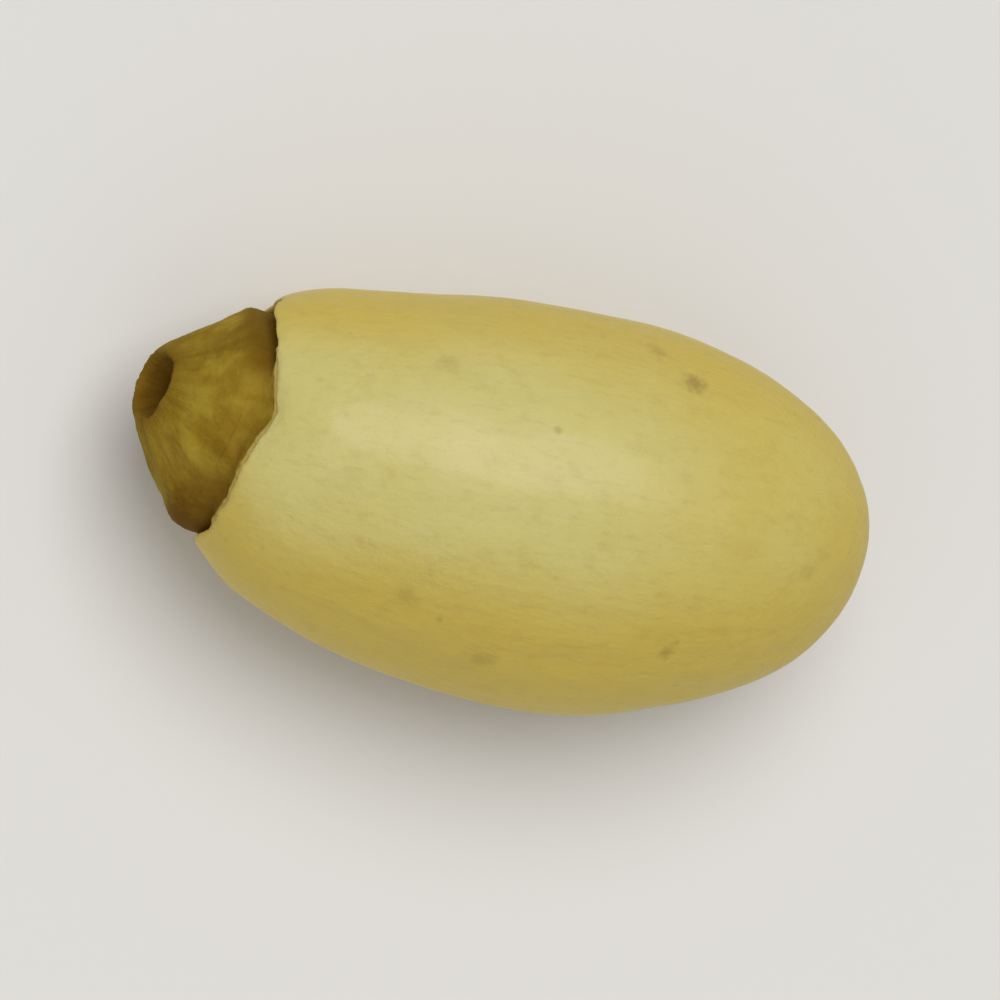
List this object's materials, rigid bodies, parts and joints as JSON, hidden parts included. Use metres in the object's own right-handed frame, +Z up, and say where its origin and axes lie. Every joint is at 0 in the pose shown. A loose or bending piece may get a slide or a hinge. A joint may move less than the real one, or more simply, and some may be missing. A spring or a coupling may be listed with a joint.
{
  "type": "pine nut",
  "caption": "Shelled pine nut kernel: plump cream teardrop with a ragged lip, dark groove and pitted brown boss at its tip.",
  "frame": {"origin": "centre of the kernel's outline seen from above, on the surface it rests on", "axes": "+X along the kernel towards its fat end, so the brown tip is at -X; +Z up as it lies"},
  "size_m": [0.0124, 0.0066, 0.006],
  "materials": {
    "kernel_flesh": "smooth waxy nut flesh with a soft sheen, olive-brown at the tip"
  },
  "bodies": {
    "root": {"kernel": "kernel_flesh"}
  },
  "joints": []
}
